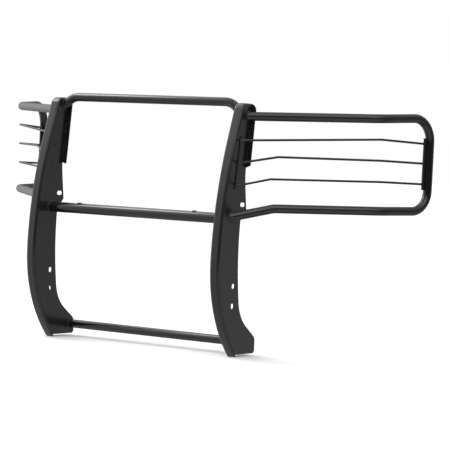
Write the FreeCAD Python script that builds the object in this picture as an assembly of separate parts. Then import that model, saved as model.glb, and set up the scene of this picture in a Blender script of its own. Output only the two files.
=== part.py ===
import FreeCAD, Part
import math
import os

# Front grille guard for a full-size pickup truck: two bent plate uprights, three
# crossbars between them, and a wrap-around headlight wing of bent tube on each side.
#
# Working frame, in millimetres: X is across the truck with 0 on its centre line,
# Y runs back from the foremost point of the uprights, Z is up from the flanges' feet.
# The last section moves everything so that the origin is under the middle of the
# guard, level with its lowest point. The left half is the mirror of the right half.

V = FreeCAD.Vector
os.makedirs("parts", exist_ok=True)

# ---------------------------------------------------------------- driving dimensions
# Uprights: channels of bent plate, open to the rear.
UPRIGHT_INNER_X = 386.0
UPRIGHT_WIDTH = 38.0
PLATE = 4.0
BEND_OUT_R = 8.0
BEND_IN_R = BEND_OUT_R - PLATE
UPRIGHT_TOP_Z = 882.0
TOP_CORNER_R = 30.0
# (y, z) of the front of the web: start, first direction, then the ends of two arcs.
FRONT_START = (148.3, -20)
FRONT_SLOPE = -1.066
FRONT_ARCS = [(0.4, 330), (70.7, 750)]
# (y, z) of the rear edge of both flanges: heel, lower arcs, step, waist and top.
HEEL_Y = 261.0
HEEL_TOP_Z = 52.0
HEEL_BOTTOM_R = 12.0
HEEL_TOP_R = 25.0
REAR_KNEE = (198, 95)
REAR_LOWER_ARCS = [(143, 180), (128, 470)]
REAR_STEP = (163, 505)
REAR_WAIST = (144.5, 632)
REAR_WAIST_R = 300.0
REAR_TOP = (169, UPRIGHT_TOP_Z)
# The web's rounded tongue hangs below the flanges.
FOOT_Z = -3.0
TONGUE_DROP = 8.0
TONGUE_R = 6.0
TONGUE_BACK_Y = 150.0

# Bracket holes through both flanges, and two small holes in each inner flange.
BOLT_HOLE_R = 10.0
BOLT_HOLES = [(103, 170), (103, 240)]
SLOT_CENTRE = (138.5, 526)
SLOT_LENGTH = 32.0
SLOT_WIDTH = 15.0
SMALL_HOLE_R = 3.2
SMALL_HOLES = [(88, 630), (98, 705)]

# Back plates: close the upper stretch of each channel and stand out on both sides.
BACK_LIP = 16.5
BACK_INNER_Z = 634.0
BACK_OUTER_Z = 664.0
BACK_CORNER_R = 26.0
COPE_GAP = 0.4

# Tubes.
TUBE_R = 15.9
MIDDLE_R = 19.05
WALL = 2.0
ROD_R = 4.0

# Crossbars, as (y, z) of their centre lines.
TOP_BAR = (148, 885)
TOP_BAR_DROP = 31.0
TOP_BAR_ANGLE = 40.0
TOP_BAR_R = 70.0
MIDDLE_BAR = (89.5, 475)
BOTTOM_BAR = (241, 33.5)
# Plugged lamp holes in the top of the middle bar.
LAMP_X = 254.0
LAMP_HOLE_R = 6.5
PLUG_HEAD_R = 9.0
PLUG_HEAD = 2.4
PLUG_STEM = 7.0
PLUG_GAP = 0.15

# Wings. Each member starts on the upright, some bend near it, all bend at the
# fender bend and end at the outer tube. (x, y, z) per station.
FENDER_X = 813.0
FENDER_Y = 418.0
FENDER_LEAN = -0.05
FENDER_Z0 = 700.0
OUTER_X = 880.5
OUTER_Y = 652.0
TOP_CORNER_BEND_R = 82.0
BOTTOM_CORNER_BEND_R = 74.0
FENDER_R = 120.0
NEAR_R = 70.0
TOP_START = (155, 837)
TOP_FENDER_Z = 851.0
TOP_OUTER_Z = 865.0
BOTTOM_START = (72, 483)
BOTTOM_NEAR = (530, 172, 518)
BOTTOM_FENDER_Z = 526.0
BOTTOM_OUTER_Z = 530.0
ROD_BEND_R = 25.0
# name: start (y, z), near bend (x, y, z) or None, z at the fender bend, z at the outer tube
RODS = {
    "upper": ((100, 751), None, 778.0, 772.0),
    "middle": ((94, 671.5), (535, 178, 699), 704.0, 701.0),
    "lower": ((87, 592), (518, 163, 620.5), 629.0, 627.0),
}

# Flat bars that the rods are welded to.
BAR_THICK = 3.0
BAR_WIDTH = 12.0
OUTER_BAR_WIDTH = 16.0
INNER_BAR_LOW = (75.5, 580)
INNER_BAR_HIGH = (101.5, 766)
OUTER_BAR_LOW_Z = 606.0
OUTER_BAR_HIGH_Z = 792.0

# ---------------------------------------------------------------- worked-out sizes
UPRIGHT_OUTER_X = UPRIGHT_INNER_X + UPRIGHT_WIDTH
MID_X = (UPRIGHT_INNER_X + UPRIGHT_OUTER_X) / 2
FAR = 400.0
DEPTH = OUTER_Y + TUBE_R


# ---------------------------------------------------------------- helpers
def yz(point, x=0.0):
    """A point of the side view, placed at x."""
    return V(x, point[0], point[1])


def unit(vector):
    return vector.multiply(1.0 / vector.Length)


def corner(before, vertex, after, radius):
    """The arc that rounds one corner: its two ends and its middle point."""
    d1 = unit(before - vertex)
    d2 = unit(after - vertex)
    half = d1.getAngle(d2) / 2
    reach = radius / math.tan(half)
    middle = unit(d1 + d2)
    centre = vertex + middle * (radius / math.sin(half))
    return vertex + d1 * reach, centre - middle * radius, vertex + d2 * reach


def bent_wire(points, radii):
    """A path of straight runs whose inner corners are rounded by radii."""
    edges = []
    here = points[0]
    for i, radius in enumerate(radii, start=1):
        start, middle, end = corner(points[i - 1], points[i], points[i + 1], radius)
        edges.append(Part.makeLine(here, start))
        edges.append(Part.Arc(start, middle, end).toShape())
        here = end
    edges.append(Part.makeLine(here, points[-1]))
    return Part.Wire(edges)


def sweep(path, radius):
    """A round bar of that radius along the path."""
    first = path.Edges[0]
    start = first.valueAt(first.FirstParameter)
    along = first.tangentAt(first.FirstParameter)
    section = Part.Wire(Part.makeCircle(radius, start, along))
    return path.makePipeShell([section], True, False)


def tube(path, radius, wall=WALL):
    return sweep(path, radius).cut(sweep(path, radius - wall))


def slab(x0, x1, y0=-FAR, y1=3 * FAR, z0=-FAR, z1=4 * FAR):
    """An axis-aligned block, large by default, that trims a shape."""
    return Part.makeBox(x1 - x0, y1 - y0, z1 - z0, V(x0, y0, z0))


def tangent_arc(start, direction, end):
    """The arc that leaves start in that direction and ends at end, and its end direction."""
    direction = unit(V(direction))
    chord = end - start
    normal = V(0, -direction.z, direction.y)
    radius = chord.dot(chord) / (2 * chord.dot(normal))
    centre = start + normal * radius
    middle = centre + unit((start + end) * 0.5 - centre) * abs(radius)
    chord = unit(chord)
    leaving = chord * (2 * direction.dot(chord)) - direction
    return Part.Arc(start, middle, end).toShape(), leaving


def polyline(points):
    return [Part.makeLine(a, b) for a, b in zip(points, points[1:])]


def side_extrusion(edges, x0, width):
    """The solid that a closed side-view outline makes when drawn out along X."""
    outline = Part.Wire(Part.__sortEdges__(edges))
    face = Part.Face(outline)
    return face.extrude(V(width, 0, 0)).translated(V(x0, 0, 0))


def largest(shape):
    """The main solid of a cut, without stray slivers."""
    return max(shape.Solids, key=lambda solid: solid.Volume)


def mirrored(shape):
    return shape.mirror(V(0, 0, 0), V(1, 0, 0))


# ---------------------------------------------------------------- uprights
def front_path():
    """The web's outside line in side view: two arcs, a straight, top corner and flat top."""
    here = yz(FRONT_START)
    heading = V(0, FRONT_SLOPE, 1)
    edges = []
    for point in FRONT_ARCS:
        arc, heading = tangent_arc(here, heading, yz(point))
        edges.append(arc)
        here = yz(point)
    vertex = here + heading * ((UPRIGHT_TOP_Z - here.z) / heading.z)
    top = bent_wire([here, vertex, yz(REAR_TOP)], [TOP_CORNER_R])
    return edges + top.Edges


def rear_path():
    """The flanges' rear edge in side view, from the foot of the web to the top."""
    start = yz(FRONT_START)
    behind_web = start + V(0, 1.5 * PLATE, 0)
    foot = behind_web + V(0, FRONT_SLOPE, 1) * (FOOT_Z - start.z)
    knee = yz(REAR_KNEE)
    heel_top = V(0, HEEL_Y, HEEL_TOP_Z)
    heel = bent_wire([foot, V(0, HEEL_Y, FOOT_Z), heel_top, knee], [HEEL_BOTTOM_R, HEEL_TOP_R])
    edges = polyline([start, behind_web, foot]) + heel.Edges
    here = knee
    heading = knee - heel_top
    for point in REAR_LOWER_ARCS:
        arc, heading = tangent_arc(here, heading, yz(point))
        edges.append(arc)
        here = yz(point)
    upper = bent_wire([yz(REAR_STEP), yz(REAR_WAIST), yz(REAR_TOP)], [REAR_WAIST_R])
    return edges + [Part.makeLine(here, yz(REAR_STEP))] + upper.Edges


def channel_cavity():
    """The hollow of the channel: the front line moved in by one plate, open behind and below."""
    inner = Part.Wire(front_path()).makeOffset2D(-PLATE, 0, False, True)
    if inner.BoundBox.YMin < PLATE / 2:
        inner = Part.Wire(front_path()).makeOffset2D(PLATE, 0, False, True)
    ends = sorted((v.Point for v in inner.Vertexes), key=lambda p: p.z)
    low = ends[0]
    high = max(inner.Vertexes, key=lambda v: v.Point.y + v.Point.z).Point
    low_drop = V(0, low.y + 2 * PLATE, low.z - FAR / 4)
    back_low = V(0, FAR, low_drop.z)
    back_high = V(0, FAR, high.z)
    edges = inner.Edges + polyline([high, back_high, back_low, low_drop, low])
    solid = side_extrusion(edges, UPRIGHT_INNER_X + PLATE, UPRIGHT_WIDTH - 2 * PLATE)
    return fillet_front(solid, BEND_IN_R, PLATE)


def fillet_front(solid, radius, inset):
    """Rounds the long front edges of the block or of its hollow, on both sides."""
    sides = (UPRIGHT_INNER_X + inset, UPRIGHT_OUTER_X - inset)
    path = Part.Wire(front_path())
    chosen = []
    for edge in solid.Edges:
        on_side = any(all(abs(v.X - x) < 1e-6 for v in edge.Vertexes) for x in sides)
        point = edge.valueAt((edge.FirstParameter + edge.LastParameter) / 2)
        gap = path.distToShape(Part.Vertex(0, point.y, point.z))[0]
        if on_side and abs(gap - inset) < 0.05:
            chosen.append(edge)
    return solid.makeFillet(radius, chosen)


def channel():
    """One upright: web, two flanges and the top that wraps back over them."""
    outline = front_path() + rear_path()
    block = side_extrusion(outline, UPRIGHT_INNER_X, UPRIGHT_WIDTH)
    block = fillet_front(block, BEND_OUT_R, 0.0)
    shape = block.cut(channel_cavity())
    feet = slab(UPRIGHT_INNER_X - 1, UPRIGHT_OUTER_X + 1, z1=FOOT_Z)
    tip = FOOT_Z - TONGUE_DROP
    outline = bent_wire(
        [
            V(MID_X, 0, FOOT_Z),
            V(UPRIGHT_INNER_X, 0, FOOT_Z),
            V(UPRIGHT_INNER_X, 0, tip),
            V(UPRIGHT_OUTER_X, 0, tip),
            V(UPRIGHT_OUTER_X, 0, FOOT_Z),
            V(MID_X, 0, FOOT_Z),
        ],
        [0.5, TONGUE_R, TONGUE_R, 0.5],
    )
    tongue = Part.Face(outline).extrude(V(0, TONGUE_BACK_Y, 0))
    shape = shape.cut(feet.cut(tongue))
    for y, z in BOLT_HOLES:
        shape = shape.cut(cross_hole(y, z, BOLT_HOLE_R))
    shape = shape.cut(cross_slot())
    inner_only = UPRIGHT_WIDTH / 2
    for y, z in SMALL_HOLES:
        shape = shape.cut(cross_hole(y, z, SMALL_HOLE_R, inner_only))
    return largest(shape)


def cross_hole(y, z, radius, length=UPRIGHT_WIDTH + 2.0):
    return Part.makeCylinder(radius, length, V(UPRIGHT_INNER_X - 1, y, z), V(1, 0, 0))


def cross_slot():
    y, z = SLOT_CENTRE
    half = (SLOT_LENGTH - SLOT_WIDTH) / 2
    radius = SLOT_WIDTH / 2
    low_corner = V(UPRIGHT_INNER_X - 1, y - half, z - radius)
    middle = Part.makeBox(UPRIGHT_WIDTH + 2, 2 * half, SLOT_WIDTH, low_corner)
    ends = [cross_hole(y - half, z, radius), cross_hole(y + half, z, radius)]
    return middle.fuse(ends)


def back_plate():
    """The plate behind the upper channel, with round top corners and a slanted bottom."""
    low, high = yz(REAR_WAIST), yz(REAR_TOP)
    behind = V(0, PLATE, 0)
    x0 = UPRIGHT_INNER_X - BACK_LIP
    x1 = UPRIGHT_OUTER_X + BACK_LIP
    profile = polyline([low, high, high + behind, low + behind, low])
    sheet = side_extrusion(profile, x0 - PLATE, x1 - x0 + 2 * PLATE)
    outline = bent_wire(
        [
            V(MID_X, 0, (BACK_INNER_Z + BACK_OUTER_Z) / 2),
            V(x0, 0, BACK_INNER_Z),
            V(x0, 0, UPRIGHT_TOP_Z),
            V(x1, 0, UPRIGHT_TOP_Z),
            V(x1, 0, BACK_OUTER_Z),
            V(MID_X, 0, (BACK_INNER_Z + BACK_OUTER_Z) / 2),
        ],
        [PLATE, BACK_CORNER_R, BACK_CORNER_R, PLATE],
    )
    template = Part.Face(outline).extrude(V(0, FAR, 0))
    plate = sheet.common(template)
    cope = sweep(wing_path(), TUBE_R + COPE_GAP)
    return largest(plate.cut(cope))


# ---------------------------------------------------------------- crossbars
def straight_bar(y, z, radius):
    path = Part.Wire(Part.makeLine(V(-UPRIGHT_INNER_X, y, z), V(UPRIGHT_INNER_X, y, z)))
    return tube(path, radius)


def top_bar():
    """Straight between its bends, with both ends turned down into the uprights."""
    y, z = TOP_BAR
    angle = math.radians(TOP_BAR_ANGLE)
    vertex_x = UPRIGHT_INNER_X - TOP_BAR_DROP / math.tan(angle)
    past = 2 * TUBE_R
    end_x = UPRIGHT_INNER_X + past * math.cos(angle)
    end_z = z - TOP_BAR_DROP - past * math.sin(angle)
    points = [V(-end_x, y, end_z), V(-vertex_x, y, z), V(vertex_x, y, z), V(end_x, y, end_z)]
    bar = tube(bent_wire(points, [TOP_BAR_R, TOP_BAR_R]), TUBE_R)
    return bar.common(slab(-UPRIGHT_INNER_X, UPRIGHT_INNER_X))


def middle_bar():
    y, z = MIDDLE_BAR
    bar = straight_bar(y, z, MIDDLE_R)
    for x in (-LAMP_X, LAMP_X):
        bar = bar.cut(Part.makeCylinder(LAMP_HOLE_R, MIDDLE_R + 5, V(x, y, z)))
    return bar


def lamp_hole_plug(x):
    """A push-in plug: a low domed head on the bar and a stem through its wall."""
    y, z = MIDDLE_BAR
    top = z + MIDDLE_R
    stem = Part.makeCylinder(LAMP_HOLE_R - PLUG_GAP, PLUG_STEM, V(x, y, top + 0.5 - PLUG_STEM))
    head = Part.makeCylinder(PLUG_HEAD_R, 2 * PLUG_HEAD, V(x, y, top - PLUG_HEAD))
    rim = [e for e in head.Edges if abs(e.BoundBox.ZMin - (top + PLUG_HEAD)) < 1e-6]
    head = head.makeFillet(PLUG_HEAD * 0.6, rim)
    bar_start = V(x - 2 * PLUG_HEAD_R, y, z)
    bar = Part.makeCylinder(MIDDLE_R + PLUG_GAP, 4 * PLUG_HEAD_R, bar_start, V(1, 0, 0))
    return head.cut(bar).fuse(stem).removeSplitter()


# ---------------------------------------------------------------- wings
def fender_point(z):
    return V(FENDER_X, FENDER_Y + FENDER_LEAN * (z - FENDER_Z0), z)


def beyond(start, target):
    """A point behind start, on the line from target, so that the end can be trimmed flush."""
    return start + unit(start - target) * (2 * TUBE_R)


def wing_path():
    """The wing's one tube: top run, fender bend, outer upright run and back along the bottom."""
    top_start = yz(TOP_START, UPRIGHT_OUTER_X)
    top_fender = fender_point(TOP_FENDER_Z)
    bottom_start = yz(BOTTOM_START, UPRIGHT_OUTER_X)
    bottom_near = V(*BOTTOM_NEAR)
    points = [
        beyond(top_start, top_fender),
        top_fender,
        V(OUTER_X, OUTER_Y, TOP_OUTER_Z),
        V(OUTER_X, OUTER_Y, BOTTOM_OUTER_Z),
        fender_point(BOTTOM_FENDER_Z),
        bottom_near,
        beyond(bottom_start, bottom_near),
    ]
    return bent_wire(points, [FENDER_R, TOP_CORNER_BEND_R, BOTTOM_CORNER_BEND_R, FENDER_R, NEAR_R])


def wing_tube():
    pipe = tube(wing_path(), TUBE_R)
    return largest(pipe.common(slab(UPRIGHT_OUTER_X, 3 * FAR)))


def wing_inner_bar():
    """Flat bar on the upright's outer flange, with its broad face outwards."""
    low_y, low_z = INNER_BAR_LOW
    high_y, high_z = INNER_BAR_HIGH
    points = [
        V(0, low_y, low_z),
        V(0, low_y + BAR_WIDTH, low_z),
        V(0, high_y + BAR_WIDTH, high_z),
        V(0, high_y, high_z),
        V(0, low_y, low_z),
    ]
    return side_extrusion(polyline(points), UPRIGHT_OUTER_X, BAR_THICK)


def outer_direction():
    """From the outer tube towards the fender bend, level."""
    fender = fender_point(FENDER_Z0)
    return unit(V(fender.x - OUTER_X, fender.y - OUTER_Y, 0))


def wing_outer_bar():
    """Flat bar standing on edge along the inside of the outer tube, hollowed to sit on it."""
    inward = outer_direction()
    across = V(0, 0, 1).cross(inward)
    centre = V(OUTER_X, OUTER_Y, OUTER_BAR_LOW_Z)
    near = centre + inward * (TUBE_R - BAR_THICK)
    far = centre + inward * (TUBE_R + OUTER_BAR_WIDTH)
    half = across * (BAR_THICK / 2)
    outline = Part.makePolygon([near - half, far - half, far + half, near + half, near - half])
    bar = Part.Face(outline).extrude(V(0, 0, OUTER_BAR_HIGH_Z - OUTER_BAR_LOW_Z))
    core = Part.makeCylinder(TUBE_R, FAR, centre - V(0, 0, ROD_R))
    return largest(bar.cut(core))


def wing_rod(start, near, fender_z, outer_z):
    """One rod, from the face of the inner flat bar to the edge of the outer one."""
    inner_face = UPRIGHT_OUTER_X + BAR_THICK
    first = yz(start, inner_face)
    outer = V(OUTER_X, OUTER_Y, outer_z)
    face = outer + outer_direction() * (TUBE_R + OUTER_BAR_WIDTH)
    middle = [V(*near)] if near else []
    middle.append(fender_point(fender_z))
    points = [beyond(first, middle[0])] + middle + [face]
    rod = sweep(bent_wire(points, [ROD_BEND_R] * len(middle)), ROD_R)
    return rod.common(slab(inner_face, 3 * FAR))


# ---------------------------------------------------------------- the whole guard
def build():
    """Every piece by name. Right-hand pieces are mirrored to make the left-hand ones."""
    right = {
        "upright": channel(),
        "back_plate": back_plate(),
        "wing_tube": wing_tube(),
        "wing_inner_bar": wing_inner_bar(),
        "wing_outer_bar": wing_outer_bar(),
    }
    for level, (start, near, fender_z, outer_z) in RODS.items():
        right["wing_rod_" + level] = wing_rod(start, near, fender_z, outer_z)
    pieces = {
        "top_crossbar": top_bar(),
        "middle_crossbar": middle_bar(),
        "bottom_crossbar": straight_bar(*BOTTOM_BAR, TUBE_R),
        "lamp_hole_plugs": Part.makeCompound([lamp_hole_plug(-LAMP_X), lamp_hole_plug(LAMP_X)]),
    }
    for name, shape in right.items():
        pieces["right_" + name] = shape
        pieces["left_" + name] = mirrored(shape)
    return pieces


to_origin = V(0, -DEPTH / 2, TONGUE_DROP - FOOT_Z)
for name, shape in build().items():
    placed = shape.translated(to_origin)
    placed.exportStep(f"parts/{name}.step")
    box = placed.BoundBox
    print(f"{name}: {len(placed.Solids)} solid, valid {placed.isValid()}, "
          f"{box.XLength:.1f} x {box.YLength:.1f} x {box.ZLength:.1f} mm")
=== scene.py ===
# %% [markdown]
# # A front grille guard in black powder coat
# This lesson dresses a finished engineering model of a truck's front grille guard.
# The guard is two curved channel uprights, three crossbars and a wing of bent tube in
# front of each headlight. All but two small plastic plugs is steel, welded, and coated in
# one black finish.
# The engineering model already has every true shape, so the work here is the finish,
# the weld beads, the light and the camera.

# %% Open the engineering model
import math
import random

import bpy
from mathutils import Matrix, Vector


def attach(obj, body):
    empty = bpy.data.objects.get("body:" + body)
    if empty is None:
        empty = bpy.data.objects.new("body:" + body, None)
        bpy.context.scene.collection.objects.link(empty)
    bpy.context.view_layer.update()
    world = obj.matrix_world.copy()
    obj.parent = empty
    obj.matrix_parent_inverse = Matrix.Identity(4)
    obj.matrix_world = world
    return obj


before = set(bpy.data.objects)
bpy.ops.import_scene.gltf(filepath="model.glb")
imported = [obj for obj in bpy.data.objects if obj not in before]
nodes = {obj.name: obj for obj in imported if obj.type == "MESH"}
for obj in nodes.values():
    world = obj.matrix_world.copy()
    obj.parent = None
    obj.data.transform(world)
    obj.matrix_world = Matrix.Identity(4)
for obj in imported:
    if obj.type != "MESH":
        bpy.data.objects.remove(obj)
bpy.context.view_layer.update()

# %% [markdown]
# ## Measures that the welds and the camera share
# The engineering model counts its depth from the front of the uprights and its height
# from the flanges' feet. Its origin was then moved under the middle of the guard. One
# small function makes the same move, so every place below can be written the way the
# part was drawn, in millimetres.

# %% Places, in the way the part was drawn
MM = 0.001
BACK_Y = 667.9 / 2
FOOT_DROP = 11.0


def at(x, y, z):
    """A drawn place, in millimetres, as a point of the scene, in metres."""
    return Vector((x, y - BACK_Y, z + FOOT_DROP)) * MM


INNER_FACE, OUTER_FACE = 386.0, 424.0
TUBE, MIDDLE_TUBE, ROD = 15.9, 19.05, 4.0
EDGE_BAR = 16.0
FENDER = (813.0, 418.0, 700.0)
OUTER = (880.5, 652.0)
FENDER_LEAN = 0.05
print("foot of the right upright is at", [round(v, 3) for v in at(405, 130, -3)])


def fender_point(z):
    """Where a member of the wing turns back along the fender."""
    return Vector((FENDER[0], FENDER[1] - FENDER_LEAN * (z - FENDER[2]), z))


# %% [markdown]
# ## Shared effects
# Powder coat is dry paint that melts on hot steel and flows into a smooth skin. Three
# things make it look real: a fine orange peel left by the melted grains, a slightly
# thinner skin along sharp edges, whose lighter tone is partly a painted highlight, and a
# little dust and handling haze.
# Every finish of the guard uses them, so each is a node group with named inputs, built
# once. A group only puts out masks, heights and normals. The shader stays in each material.

# %% Small helpers for node groups
def new_group(name, inputs, outputs):
    """An empty shader group. inputs are (name, default), outputs are (name, type)."""
    group = bpy.data.node_groups.new(name, "ShaderNodeTree")
    for label, default in inputs:
        socket = group.interface.new_socket(label, in_out="INPUT", socket_type="NodeSocketFloat")
        socket.default_value = default
    for label, kind in outputs:
        group.interface.new_socket(label, in_out="OUTPUT", socket_type="NodeSocket" + kind)
    return group, group.nodes.new("NodeGroupInput"), group.nodes.new("NodeGroupOutput")


def add(tree, kind, **settings):
    """A node of that kind. Settings are its own properties, or inputs by name."""
    node = tree.nodes.new("ShaderNode" + kind)
    for key, value in settings.items():
        if hasattr(node, key):
            setattr(node, key, value)
        else:
            node.inputs[key.replace("_", " ")].default_value = value
    return node


def math_node(tree, operation, first, second, clamp=False):
    """A Math node whose two inputs are numbers or other nodes' outputs."""
    node = tree.nodes.new("ShaderNodeMath")
    node.operation = operation
    node.use_clamp = clamp
    for socket, value in zip(node.inputs, (first, second)):
        if isinstance(value, (int, float)):
            socket.default_value = value
        else:
            tree.links.new(value, socket)
    return node.outputs[0]


print("helpers: new_group, add, math_node")

# %% [markdown]
# ### Orange peel
# The skin of melted powder rolls gently, like the peel of an orange, with dimples about
# three millimetres apart. Real displacement would need millions of faces, so a noise
# pattern makes a height instead, and each material turns it into a bump. A second, much
# wider noise adds the soft waviness of bent plate, which is what makes long reflections
# look like steel and not like glass.

# %% Build the orange peel group
def build_orange_peel():
    group, inside, outside = new_group(
        "Orange peel",
        [("Dimple size mm", 3.0), ("Wave size mm", 140.0), ("Wave share", 6.0)],
        [("Height", "Float")],
    )
    place = add(group, "TexCoord")
    fine_scale = math_node(group, "DIVIDE", 1000.0, inside.outputs["Dimple size mm"])
    wide_scale = math_node(group, "DIVIDE", 1000.0, inside.outputs["Wave size mm"])
    fine = add(group, "TexNoise", Detail=2.0, Roughness=0.45)
    wide = add(group, "TexNoise", Detail=0.0, Roughness=0.3)
    for noise, scale in ((fine, fine_scale), (wide, wide_scale)):
        group.links.new(place.outputs["Object"], noise.inputs["Vector"])
        group.links.new(scale, noise.inputs["Scale"])
    waves = math_node(group, "MULTIPLY", wide.outputs[0], inside.outputs["Wave share"])
    group.links.new(math_node(group, "ADD", fine.outputs[0], waves), outside.inputs["Height"])
    return group


orange_peel = build_orange_peel()
print("group:", orange_peel.name)

# %% [markdown]
# ### Thin coat and painted highlight on edges
# Melted powder pulls back from sharp edges, so a cut plate shows a narrow, slightly
# lighter line there, partly from that thin coat and partly as a painted highlight, and the
# edge itself is a little round. Blender's Bevel node gives the normal of a rounded edge
# without new faces. Where it differs from the true normal there is an edge, and a noise
# breaks that mask up so that no edge is even.

# %% Build the edge group
EDGE_GAIN = 5.0
BREAK_UP_SCALE = 95.0


def build_thin_coat_and_edge_highlight():
    group, inside, outside = new_group(
        "Thin coat and painted highlight on edges",
        [("Edge radius mm", 1.2), ("Break up", 0.5)],
        [("Mask", "Float"), ("Rounded normal", "Vector")],
    )
    radius = math_node(group, "MULTIPLY", inside.outputs["Edge radius mm"], MM)
    round_edge = add(group, "Bevel", samples=6)
    group.links.new(radius, round_edge.inputs["Radius"])
    true_side = add(group, "NewGeometry")
    dot = add(group, "VectorMath", operation="DOT_PRODUCT")
    group.links.new(round_edge.outputs[0], dot.inputs[0])
    group.links.new(true_side.outputs["True Normal"], dot.inputs[1])
    bend = math_node(group, "SUBTRACT", 1.0, dot.outputs["Value"], clamp=True)
    sharp = math_node(group, "MULTIPLY", bend, EDGE_GAIN, clamp=True)
    place = add(group, "TexCoord")
    broken = add(group, "TexNoise", Scale=BREAK_UP_SCALE, Detail=4.0, Roughness=0.6)
    group.links.new(place.outputs["Object"], broken.inputs["Vector"])
    uneven = math_node(group, "MULTIPLY", broken.outputs[0], inside.outputs["Break up"])
    kept = math_node(group, "SUBTRACT", 1.0, uneven, clamp=True)
    # This mask lightens the edges: partly thin coat, partly a painted highlight.
    group.links.new(math_node(group, "MULTIPLY", sharp, kept), outside.inputs["Mask"])
    group.links.new(round_edge.outputs[0], outside.inputs["Rounded normal"])
    return group


thin_coat_and_edge_highlight = build_thin_coat_and_edge_highlight()
print("group:", thin_coat_and_edge_highlight.name)

# %% [markdown]
# ### Dust and handling
# A new guard that has been lifted out of its box carries a breath of dust on what faces
# up, and faint smears where gloves held it. Dust needs a mask that follows the surface's
# own direction, and smears need long, soft patches. Both only nudge roughness and tone.

# %% Build the dust group
DUST_NEEDS_UP, DUST_GAIN = 0.25, 6.0
SPECK_SCALE, SPECK_START = 420.0, 0.45
SMEAR_SCALE, SMEAR_START, SMEAR_GAIN = 9.0, 0.5, 4.0
SMEAR_STRETCH = (0.35, 1.0, 1.6)


def build_shop_dust():
    group, inside, outside = new_group(
        "Shop dust",
        [("Dust", 0.35), ("Smears", 0.4)],
        [("Dust mask", "Float"), ("Smear mask", "Float")],
    )
    side = add(group, "NewGeometry")
    split = add(group, "SeparateXYZ")
    group.links.new(side.outputs["Normal"], split.inputs[0])
    upward = math_node(group, "SUBTRACT", split.outputs["Z"], DUST_NEEDS_UP, clamp=True)
    place = add(group, "TexCoord")
    specks = add(group, "TexNoise", Scale=SPECK_SCALE, Detail=3.0, Roughness=0.7)
    patches = add(group, "TexNoise", Scale=SMEAR_SCALE, Detail=3.0, Roughness=0.55)
    stretch = add(group, "Mapping", Scale=SMEAR_STRETCH)
    group.links.new(place.outputs["Object"], specks.inputs["Vector"])
    group.links.new(place.outputs["Object"], stretch.inputs["Vector"])
    group.links.new(stretch.outputs[0], patches.inputs["Vector"])
    grains = math_node(group, "SUBTRACT", specks.outputs[0], SPECK_START, clamp=True)
    lying = math_node(group, "MULTIPLY", grains, upward)
    dust = math_node(group, "MULTIPLY", lying, DUST_GAIN, clamp=True)
    dust = math_node(group, "MULTIPLY", dust, inside.outputs["Dust"])
    smear = math_node(group, "SUBTRACT", patches.outputs[0], SMEAR_START, clamp=True)
    smear = math_node(group, "MULTIPLY", smear, SMEAR_GAIN, clamp=True)
    smear = math_node(group, "MULTIPLY", smear, inside.outputs["Smears"])
    group.links.new(dust, outside.inputs["Dust mask"])
    group.links.new(smear, outside.inputs["Smear mask"])
    return group


shop_dust = build_shop_dust()
print("group:", shop_dust.name)

# %% [markdown]
# ## The finishes
# One recipe makes every coated finish: near-black paint over steel, with the three
# groups above feeding colour, roughness and bump. Plate, tube, rod and weld each get
# their own values, because powder lies smoothest on tube, shows more wave on bent plate,
# and lies thick and soft over a weld.

# %% Put a group into a material
def place_group(tree, group, **values):
    """Puts a group into a material with its own values."""
    node = tree.nodes.new("ShaderNodeGroup")
    node.node_tree = group
    for key, value in values.items():
        node.inputs[key.replace("_", " ")].default_value = value
    return node


print("groups to place:", [g.name for g in (orange_peel, thin_coat_and_edge_highlight, shop_dust)])

# %% [markdown]
# The recipe starts from the black of the paint, goes towards a lighter tone on edges, which
# is partly thin coat and partly a painted highlight, and then towards dust, and lets smears
# and dust dull the gloss. The bump starts from the rounded normal, so that edges stay soft
# under the orange peel.

# %% The recipe of the coat
DUST_TONE = (0.16, 0.155, 0.15, 1)
PEEL_DEPTH = 0.4 * MM
SMEAR_DULLS, DUST_DULLS = 0.10, 0.35
PAINT_IOR = 1.5
EDGE_BREAK_UP = 0.7


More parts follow.
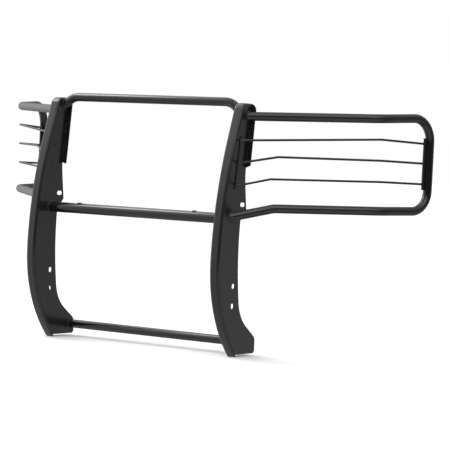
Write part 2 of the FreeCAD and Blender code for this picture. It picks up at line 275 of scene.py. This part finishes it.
def coated(name, black, edge_coat_and_highlight_tone, gloss, peel, dimple, wave, wave_share, edge_mm, dust, smears):
    """A black powder coat. gloss is its roughness, peel the strength of its orange peel."""
    material = bpy.data.materials.new(name)
    material.use_nodes = True
    tree = material.node_tree
    shader = tree.nodes["Principled BSDF"]
    skin = place_group(
        tree, orange_peel, Dimple_size_mm=dimple, Wave_size_mm=wave, Wave_share=wave_share,
    )
    edges = place_group(tree, thin_coat_and_edge_highlight, Edge_radius_mm=edge_mm, Break_up=EDGE_BREAK_UP)
    shop = place_group(tree, shop_dust, Dust=dust, Smears=smears)

    # Edges go towards a lighter tone: partly thin coat, partly a painted highlight.
    to_edge_coat_and_highlight = add(tree, "Mix", data_type="RGBA")
    to_edge_coat_and_highlight.inputs["A"].default_value = (*black, 1)
    to_edge_coat_and_highlight.inputs["B"].default_value = (*edge_coat_and_highlight_tone, 1)
    tree.links.new(edges.outputs["Mask"], to_edge_coat_and_highlight.inputs["Factor"])
    to_dust = add(tree, "Mix", data_type="RGBA")
    to_dust.inputs["B"].default_value = DUST_TONE
    tree.links.new(shop.outputs["Dust mask"], to_dust.inputs["Factor"])
    tree.links.new(to_edge_coat_and_highlight.outputs["Result"], to_dust.inputs["A"])
    tree.links.new(to_dust.outputs["Result"], shader.inputs["Base Color"])

    rough = math_node(tree, "MULTIPLY_ADD", shop.outputs["Smear mask"], SMEAR_DULLS)
    rough.node.inputs[2].default_value = gloss
    dulled = math_node(tree, "MULTIPLY", shop.outputs["Dust mask"], DUST_DULLS)
    rough = math_node(tree, "ADD", rough, dulled, clamp=True)
    tree.links.new(rough, shader.inputs["Roughness"])

    bump = add(tree, "Bump", Strength=peel, Distance=PEEL_DEPTH)
    tree.links.new(skin.outputs["Height"], bump.inputs["Height"])
    tree.links.new(edges.outputs["Rounded normal"], bump.inputs["Normal"])
    tree.links.new(bump.outputs[0], shader.inputs["Normal"])
    shader.inputs["IOR"].default_value = PAINT_IOR
    return material


print("one recipe, dust tone", DUST_TONE[:3])

# %% [markdown]
# Four finishes come from that recipe. The rods and flat bars are the dullest, and the
# tubes the glossiest. The rods and flat bars carry the same coat as the rest; their blacker
# base is painted shade.

# %% Mix the coated finishes
plate_coat = coated(
    "Black coat on plate", (0.016, 0.016, 0.0164), (0.035, 0.035, 0.036),
    gloss=0.20, peel=0.22, dimple=3.2, wave=120.0, wave_share=5.0, edge_mm=1.1, dust=0.22, smears=0.35,
)
tube_coat = coated(
    "Black coat on tube", (0.011, 0.011, 0.0113), (0.03, 0.03, 0.031),
    gloss=0.11, peel=0.14, dimple=2.6, wave=90.0, wave_share=1.5, edge_mm=0.8, dust=0.18, smears=0.3,
)
# The same coat as on the tubes; the blacker base colour here is painted shade.
rod_coat_painted_darker = coated(
    "Black coat on rod and flat bar, painted darker", (0.006, 0.006, 0.0062), (0.03, 0.03, 0.031),
    gloss=0.32, peel=0.14, dimple=2.0, wave=60.0, wave_share=1.0, edge_mm=0.5, dust=0.15, smears=0.2,
)
weld_coat = coated(
    "Black coat on weld", (0.014, 0.014, 0.0145), (0.04, 0.04, 0.041),
    gloss=0.24, peel=0.25, dimple=1.6, wave=25.0, wave_share=1.0, edge_mm=0.4, dust=0.25, smears=0.2,
)
print("finishes:", [m.name for m in (plate_coat, tube_coat, rod_coat_painted_darker, weld_coat)])

# %% [markdown]
# The plugs in the middle bar are moulded plastic, pushed in by thumb. Plastic is never
# as glossy as the coat: it has a fine spark-eroded grain from the mould and no metal
# under it. The same groups serve, with a smaller and stronger grain.

# %% The plug finish
plug_plastic = coated(
    "Moulded plug plastic", (0.02, 0.02, 0.02), (0.05, 0.05, 0.05),
    gloss=0.46, peel=0.5, dimple=0.7, wave=20.0, wave_share=0.5, edge_mm=0.4, dust=0.3, smears=0.1,
)
print("finish:", plug_plastic.name)

# %% [markdown]
# ## Dress the engineering pieces
# Each piece already has a material slot from the engineering record. The new finish goes
# into that slot, so the shapes stay exactly as they were made.

# %% Put the finishes on the pieces
FINISH = {"upright": plate_coat, "back_plate": plate_coat, "crossbar": tube_coat, "wing_tube": tube_coat,
          "wing_rod": rod_coat_painted_darker, "_bar": rod_coat_painted_darker, "plugs": plug_plastic}


def finish_for(name):
    """The finish whose key word the piece's name holds."""
    for word, material in FINISH.items():
        if word in name:
            return material
    raise ValueError("no finish for " + name)


for name, piece in sorted(nodes.items()):
    piece.data.materials.clear()
    piece.data.materials.append(finish_for(name))
print("dressed", len(nodes), "pieces")

# %% [markdown]
# ## Weld beads
# Every joint of the guard is a fillet weld. A welder lays it as a row of small overlapping
# ripples, about three millimetres apart, and the coat then softens them. A bead could be
# a bump in a material, but it stands proud and catches the light from every side, so it
# is real geometry here: a small round section drawn along the joint, swelling and
# shrinking once per ripple, with a little unevenness from a fixed random seed.

# %% Even steps along a joint
RIPPLE = 3.1
RINGS_PER_RIPPLE = 5
FEWEST_STEPS = 6


def resample(points, step, closed):
    """Evenly spaced places along a line of points."""
    loop = points + [points[0]] if closed else points
    lengths = [0.0]
    for a, b in zip(loop, loop[1:]):
        lengths.append(lengths[-1] + (b - a).length)
    count = max(FEWEST_STEPS, round(lengths[-1] / step))
    found, i = [], 0
    for k in range(count if closed else count + 1):
        want = lengths[-1] * k / count
        while i < len(loop) - 2 and lengths[i + 1] < want:
            i += 1
        share = (want - lengths[i]) / max(1e-9, lengths[i + 1] - lengths[i])
        found.append(loop[i].lerp(loop[i + 1], share))
    return found


print("a ring every", round(RIPPLE / RINGS_PER_RIPPLE, 2), "mm")

# %% [markdown]
# Every ripple rises quickly and falls slowly. The bead is a little flatter than round and
# stands slightly out of its corner. A run that doesn't close on itself starts and stops
# thin, as a welder starts and stops the arc.

# %% The size of a ripple
THINNEST, SWELL, RISE, UNEVEN = 0.84, 0.22, 0.7, 0.03
STANDS_OUT, FLATTENED = 0.15, 0.82
TIP_SIZE, TIP_GROWTH = 0.35, 0.22


def ripple_size(k, dice):
    """How fat the bead is at ring k: a quick rise and a slow fall in every ripple."""
    phase = (k % RINGS_PER_RIPPLE) / RINGS_PER_RIPPLE
    return THINNEST + SWELL * math.sin(math.pi * phase ** RISE) + dice.uniform(-UNEVEN, UNEVEN)


print("a bead's size goes from", THINNEST, "to", THINNEST + SWELL, "of its own, give or take", UNEVEN)

# %% [markdown]
# The bead is a row of rings, joined into a tube of faces. Each ring is turned square to
# the joint. A closed joint joins its last ring to its first, and an open run gets caps.

# %% Lay one bead
SECTION = 9


def lay_bead(name, points, lift, size, closed, seed):
    """A weld bead along drawn points. lift(point) is the way it stands out of the corner."""
    dice = random.Random(seed)
    line = resample(points, RIPPLE / RINGS_PER_RIPPLE, closed)
    verts, faces = [], []
    count = len(line)
    for k, point in enumerate(line):
        ahead = line[(k + 1) % count] if closed else line[min(k + 1, count - 1)]
        behind = line[k - 1] if closed or k else line[0]
        along = (ahead - behind).normalized()
        out = lift(point)
        out = (out - along * out.dot(along)).normalized()
        side = along.cross(out)
        fat = size * ripple_size(k, dice)
        if not closed:
            fat *= min(1.0, TIP_SIZE + TIP_GROWTH * min(k, count - 1 - k))
        centre = point + out * (STANDS_OUT * size)
        for j in range(SECTION):
            turn = 2 * math.pi * j / SECTION
            p = centre + (out * (FLATTENED * math.cos(turn)) + side * math.sin(turn)) * fat
            verts.append(at(*p))
    rings = count if closed else count - 1
    for k in range(rings):
        a, b = k * SECTION, ((k + 1) % count) * SECTION
        for j in range(SECTION):
            n = (j + 1) % SECTION
            faces.append((a + j, b + j, b + n, a + n))
    if not closed:
        faces.append(tuple(range(SECTION)))
        faces.append(tuple(reversed(range((count - 1) * SECTION, count * SECTION))))
    mesh = bpy.data.meshes.new(name)
    mesh.from_pydata(verts, [], faces)
    mesh.polygons.foreach_set("use_smooth", [True] * len(mesh.polygons))
    mesh.update()
    piece = bpy.data.objects.new(name, mesh)
    bpy.context.scene.collection.objects.link(piece)
    mesh.materials.append(weld_coat)
    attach(piece, "root")


print("bead section:", SECTION, "sides")

# %% [markdown]
# Where a tube meets a flat flange, the joint is the line where the tube's round skin
# crosses the flange: a circle if it comes in square, an ellipse if it comes in at a
# slant. Working that line out from the tube's own direction keeps the bead exactly in
# the corner, whatever the angle.

# %% The joint line, and a bead on both sides
TUBE_STEPS, ROD_STEPS = 72, 24


def crossing_line(centre, direction, radius, face_x, steps=TUBE_STEPS):
    """Where a round tube's skin crosses the plane x = face_x, as drawn places."""
    direction = direction.normalized()
    up = Vector((0, 0, 1))
    side = direction.cross(up).normalized()
    over = side.cross(direction).normalized()
    points = []
    for k in range(steps):
        turn = 2 * math.pi * k / steps
        p = centre + (side * math.cos(turn) + over * math.sin(turn)) * radius
        points.append(p + direction * ((face_x - p.x) / direction.x))
    return points


def mirrored(points):
    return [Vector((-p.x, p.y, p.z)) for p in points]


def bead_both_sides(name, points, centre, off_face, size, seed):
    """Lays a bead on the right-hand side and its twin on the left."""
    for side, line, middle, off in (
        ("right", points, centre, off_face),
        ("left", mirrored(points), *mirrored([centre, off_face])),
    ):
        def lift(point, middle=middle, off=off):
            away = point - middle
            away -= off * away.dot(off)
            return away.normalized() + off
        lay_bead(f"{side}_{name}", line, lift, size, True, seed + (side == "left"))


print("a tube's joint is drawn with", TUBE_STEPS, "points, a rod's with", ROD_STEPS)

# %% [markdown]
# The three crossbars butt on the inner flanges, and the wing tubes on the outer ones. The
# top bar's ends are bent down, so they meet their flanges at a slant.

# %% Beads where tubes meet the flanges
TUBE_BEAD, TUBE_CLEAR = 2.6, 0.3
outward, inward = Vector((1, 0, 0)), Vector((-1, 0, 0))
slope = math.radians(40)  # the bent ends of the top bar
bent_down = Vector((math.cos(slope), 0, -math.sin(slope)))
BARS = [
    ("weld_top_bar", Vector((INNER_FACE, 148, 854)), bent_down, TUBE),
    ("weld_middle_bar", Vector((INNER_FACE, 89.5, 475)), outward, MIDDLE_TUBE),
    ("weld_bottom_bar", Vector((INNER_FACE, 241, 33.5)), outward, TUBE),
]
for i, (name, centre, direction, radius) in enumerate(BARS):
    line = crossing_line(centre, direction, radius + TUBE_CLEAR, INNER_FACE)
    bead_both_sides(name, line, centre, inward, TUBE_BEAD, seed=10 * i + 1)
WINGS = [
    ("weld_wing_top", Vector((OUTER_FACE, 155, 837)), fender_point(851)),
    ("weld_wing_bottom", Vector((OUTER_FACE, 72, 483)), Vector((530, 172, 518))),
]
for i, (name, centre, towards) in enumerate(WINGS):
    line = crossing_line(centre, towards - centre, TUBE + TUBE_CLEAR, OUTER_FACE)
    bead_both_sides(name, line, centre, outward, TUBE_BEAD, seed=10 * i + 50)
print("tube beads laid:", 2 * (len(BARS) + len(WINGS)))

# %% [markdown]
# The rods are thin, so a welder only closes a small ring round each end, where it
# butts on its flat bar. The flat bars themselves are held by short stitches, which are not laid here.

# %% Beads on the rods
# Each rod: where it starts, the place it heads for, and its height at the outer tube.
RODS = {
    "upper": (Vector((427, 100, 751)), fender_point(778), 772.0),
    "middle": (Vector((427, 94, 671.5)), Vector((535, 178, 699)), 701.0),
    "lower": (Vector((427, 87, 592)), Vector((518, 163, 620.5)), 627.0),
}
bar_way = Vector((FENDER[0] - OUTER[0], FENDER[1] - OUTER[1], 0)).normalized()


INNER_BEAD, INNER_CLEAR = 1.5, 0.2
OUTER_BEAD, OUTER_CLEAR = 1.4, 0.1


def ring(centre, direction, radius):
    """A circle of drawn places square to direction."""
    direction = direction.normalized()
    side = direction.cross(Vector((0, 0, 1))).normalized()
    over = side.cross(direction)
    turns = [2 * math.pi * k / ROD_STEPS for k in range(ROD_STEPS)]
    return [centre + (side * math.cos(t) + over * math.sin(t)) * radius for t in turns]


for i, (level, (start, towards, outer_z)) in enumerate(RODS.items()):
    line = crossing_line(start, towards - start, ROD + INNER_CLEAR, start.x, ROD_STEPS)
    bead_both_sides(f"weld_rod_{level}_inner", line, start, outward, INNER_BEAD, seed=100 + i)
    end = Vector((*OUTER, outer_z)) + bar_way * (TUBE + EDGE_BAR)
    line = ring(end, bar_way, ROD + OUTER_CLEAR)
    bead_both_sides(f"weld_rod_{level}_outer", line, end, bar_way, OUTER_BEAD, seed=120 + i)
print("rod beads laid:", 4 * len(RODS))

# %% [markdown]
# Each back plate lies on the rear edges of the two flanges, standing proud of them on
# both sides. That makes a long inside corner, which is stitched with short runs and
# gaps so that the plate doesn't pull. The plate's slanted lower edge stays open.

# %% Stitches along the back plates
WAIST, TOP = Vector((0, 144.5, 632)), Vector((0, 169, 882))
STITCH_BEAD, STITCH_STEPS = 1.3, 8


def rear_edge(z):
    """A place on the flanges' rear edge, where the back plate lies."""
    return WAIST.lerp(TOP, (z - WAIST.z) / (TOP.z - WAIST.z))


def stitch(name, face_x, z0, z1, out_x, seed):
    points = [rear_edge(z0 + (z1 - z0) * k / STITCH_STEPS) for k in range(STITCH_STEPS + 1)]
    points = [Vector((face_x, p.y, p.z)) for p in points]
    lean = Vector((out_x, -1, 0)).normalized()
    lay_bead("right_" + name, points, lambda p: lean, STITCH_BEAD, False, seed)
    twin = Vector((-lean.x, lean.y, 0))
    lay_bead("left_" + name, mirrored(points), lambda p: twin, STITCH_BEAD, False, seed + 1)


STITCHES = [(676, 716), (748, 788)]  # lower and upper end of each run, by height
for i, (z0, z1) in enumerate(STITCHES):
    stitch(f"stitch_inner_{i}", INNER_FACE, z0, z1, -1, 200 + 10 * i)
    stitch(f"stitch_outer_{i}", OUTER_FACE, z0, z1, 1, 205 + 10 * i)
print("stitches laid:", 4 * len(STITCHES))

# %% [markdown]
# ## Stage
# A plain pale floor, there to catch the guard's soft shadow. It is left out of what the
# guard reflects and of the light that bounces on it, because the low part of the room,
# below, sets the undersides' grey.

# %% The floor
FLOOR_REACH, FLOOR_HEIGHT = 60, -1 * MM
FLOOR_TONES = (0.93, 0.97)


def flat_sheet(name, reach, z):
    mesh = bpy.data.meshes.new(name)
    corners = [(-reach, -reach, z), (reach, -reach, z), (reach, reach, z), (-reach, reach, z)]
    mesh.from_pydata(corners, [], [(0, 1, 2, 3)])
    piece = bpy.data.objects.new(name, mesh)
    bpy.context.scene.collection.objects.link(piece)
    return piece


def floor_paint():
    material = bpy.data.materials.new("Pale studio floor")
    material.use_nodes = True
    tree = material.node_tree
    shader = tree.nodes["Principled BSDF"]
    place = add(tree, "TexCoord")
    mottle = add(tree, "TexNoise", Scale=1.5, Detail=3.0)
    tree.links.new(place.outputs["Object"], mottle.inputs["Vector"])
    tone = add(tree, "Mix", data_type="RGBA")
    for socket, grey in zip("AB", FLOOR_TONES):
        tone.inputs[socket].default_value = (grey, grey, grey, 1)
    tree.links.new(mottle.outputs[0], tone.inputs["Factor"])
    tree.links.new(tone.outputs["Result"], shader.inputs["Base Color"])
    shader.inputs["Roughness"].default_value = 0.9
    shader.inputs["Specular IOR Level"].default_value = 0.0
    return material


floor = flat_sheet("studio_floor", FLOOR_REACH, FLOOR_HEIGHT)
floor.data.materials.append(floor_paint())
floor.visible_glossy = False
floor.visible_diffuse = False

# %% [markdown]
# ## The room
# Black gloss only shows what it reflects, so the room is what draws the guard. It glows
# strongly on the left, which fills the fronts of the uprights and the left wing. Towards
# the front right it is dark at eye level and bright higher up, which gives the wing tubes
# a bright line above a dark one. Low down it stays grey, so that undersides never go fully
# black. A third, weak glow lies behind on the right. Where the camera looks straight at the
# room it sees plain white.

# %% How bright the room is, by height
EVEN = (
    (0.0, 0.45), (0.30, 0.40), (0.44, 0.20), (0.50, 0.06),
    (0.60, 0.18), (0.75, 0.60), (1.0, 1.1),
)
LEFT = ((0.0, 0.3), (0.40, 1.6), (0.5, 2.5), (0.8, 2.5), (1.0, 1.0))
FRONT_RIGHT = ((0.0, 0.9), (0.42, 0.7), (0.48, 0.0), (0.69, 0.05), (0.75, 2.5), (1.0, 1.2))
BACK_RIGHT = ((0.0, 0.2), (0.42, 0.45), (0.5, 0.45), (0.6, 0.2), (1.0, 0.0))
# Each glow: its name, the way it lies, how narrow it is, and its brightness by height.
GLOWS = (
    ("left", (-0.97, -0.24, 0), 3.2, LEFT),
    ("front right", (0.78, -0.63, 0), 4.0, FRONT_RIGHT),
    ("back right", (0.545, 0.839, 0), 4.0, BACK_RIGHT),
)


def by_height(tree, height, levels):
    """A brightness that follows height, 0 straight down, 0.5 level, 1 straight up."""
    ramp = add(tree, "ValToRGB")
    stops = ramp.color_ramp.elements
    while len(stops) < len(levels):
        stops.new(0.5)
    for stop, (position, grey) in zip(stops, levels):
        stop.position = position
        stop.color = (grey, grey, grey, 1)
    tree.links.new(height, ramp.inputs[0])
    return ramp.outputs[0]


print("glow levels by height:", {name: len(levels) for name, _, _, levels in GLOWS})

# %% [markdown]
# A glow has to fade out sideways as well. The dot product of two level directions is 1
# where they agree and 0 at a right angle, and a power makes that falloff narrower.

# %% How a glow fades sideways
def toward(tree, heading, way, power):
    """1 where a direction's level part points along way, falling off smoothly beside it."""
    dot = add(tree, "VectorMath", operation="DOT_PRODUCT")
    dot.inputs[1].default_value = way
    tree.links.new(heading, dot.inputs[0])
    return math_node(tree, "POWER", math_node(tree, "MAXIMUM", dot.outputs["Value"], 0.0), power)


print("powers of the glows:", [power for _, _, power, _ in GLOWS])

# %% [markdown]
# The room adds the even glow and the three wide ones up, and Light Path swaps in plain
# white for what the camera sees directly.

# %% Build the room
def build_room():
    """White where the camera looks at it. For the guard, an even glow and three wide ones."""
    room = bpy.data.worlds.new("Pale room")
    bpy.context.scene.world = room
    room.use_nodes = True
    tree = room.node_tree
    tree.nodes.clear()
    out = add(tree, "OutputWorld")
    ray = add(tree, "LightPath")
    white = add(tree, "Background", Strength=1.0)
    white.inputs["Color"].default_value = (1, 1, 1, 1)
    lit = add(tree, "Background", Strength=1.0)
    place = add(tree, "TexCoord")
    split = add(tree, "SeparateXYZ")
    tree.links.new(place.outputs["Generated"], split.inputs[0])
    height = math_node(tree, "MULTIPLY_ADD", split.outputs["Z"], 0.5)
    height.node.inputs[2].default_value = 0.5
    flat = add(tree, "VectorMath", operation="MULTIPLY")
    flat.inputs[1].default_value = (1, 1, 0)
    tree.links.new(place.outputs["Generated"], flat.inputs[0])
    heading = add(tree, "VectorMath", operation="NORMALIZE")
    tree.links.new(flat.outputs[0], heading.inputs[0])

    total = by_height(tree, height, EVEN)
    for _, way, power, levels in GLOWS:
        share = toward(tree, heading.outputs[0], way, power)
        glow = math_node(tree, "MULTIPLY", by_height(tree, height, levels), share)
        total = math_node(tree, "ADD", total, glow)
    tree.links.new(total, lit.inputs["Strength"])
    both = add(tree, "MixShader")
    tree.links.new(ray.outputs["Is Camera Ray"], both.inputs[0])
    tree.links.new(lit.outputs[0], both.inputs[1])
    tree.links.new(white.outputs[0], both.inputs[2])
    tree.links.new(both.outputs[0], out.inputs[0])


build_room()
print("room glows:", [name for name, *_ in GLOWS])

# %% [markdown]
# ## Two softboxes
# The small softbox above and in front of the left wing is what the top and middle crossbars
# mirror just under their upper edges: a broad bright band on the left that fades towards
# the right. The larger and dimmer one is higher, further left and behind. It adds a fainter
# and almost even line right at those upper edges.

# %% The light panels
MIDDLE = Vector((0, 0, 0.45))
# Each softbox: its name, where it stands, the length of its sides in metres, its watts.
SOFTBOXES = (
    ("overhead_panel", (-2.6, 0.9, 3.4), 2.2, 20),
    ("near_left_panel", (-1.17, -0.58, 2.08), 0.65, 11),
)


def panel(name, place, side, power):
    """A square softbox: a flat light at place, turned to the middle of the guard."""
    light = bpy.data.lights.new(name, "AREA")
    light.shape = "RECTANGLE"
    light.size, light.size_y = side, side
    light.energy = power
    lamp = bpy.data.objects.new(name, light)
    bpy.context.scene.collection.objects.link(lamp)
    lamp.location = place
    lamp.rotation_euler = (MIDDLE - Vector(place)).to_track_quat("-Z", "Y").to_euler()
    lamp.visible_camera = False


for softbox in SOFTBOXES:
    panel(*softbox)
print("softboxes:", [name for name, *_ in SOFTBOXES])

# %% [markdown]
# ## The camera
# The camera stands to the front right, level with the upper part of the guard and far
# away, with a long lens, so the two halves of the guard keep nearly the same size. It
# leans a little, which lowers the right-hand wing in the view and raises the left-hand one.
# A camera's axes are easier to set from one turn, one tilt and one lean than from three
# Euler angles.

# %% The camera
TURN, TILT, LEAN = math.radians(32.91), math.radians(2.043), math.radians(2.81)
CAMERA_PLACE = (4.1722, -6.0957, 0.7124)
SENSOR_MM, LENS_MM = 36.0, 159.43
right = Vector((math.cos(TURN), math.sin(TURN), 0))
ahead = Vector((-math.sin(TURN) * math.cos(TILT), math.cos(TURN) * math.cos(TILT), -math.sin(TILT)))
up = right.cross(ahead)
leaned_right = right * math.cos(LEAN) + up * math.sin(LEAN)
leaned_up = up * math.cos(LEAN) - right * math.sin(LEAN)
lens = bpy.data.cameras.new("Camera")
lens.sensor_width = SENSOR_MM
lens.lens = LENS_MM
lens.clip_end = 200.0
camera = bpy.data.objects.new("Camera", lens)
bpy.context.scene.collection.objects.link(camera)
turned = Matrix((leaned_right, leaned_up, -ahead)).transposed().to_4x4()
camera.matrix_world = Matrix.Translation(CAMERA_PLACE) @ turned
bpy.context.scene.camera = camera
bpy.context.scene.view_settings.view_transform = "Standard"
print("camera at", [round(v, 2) for v in camera.location])
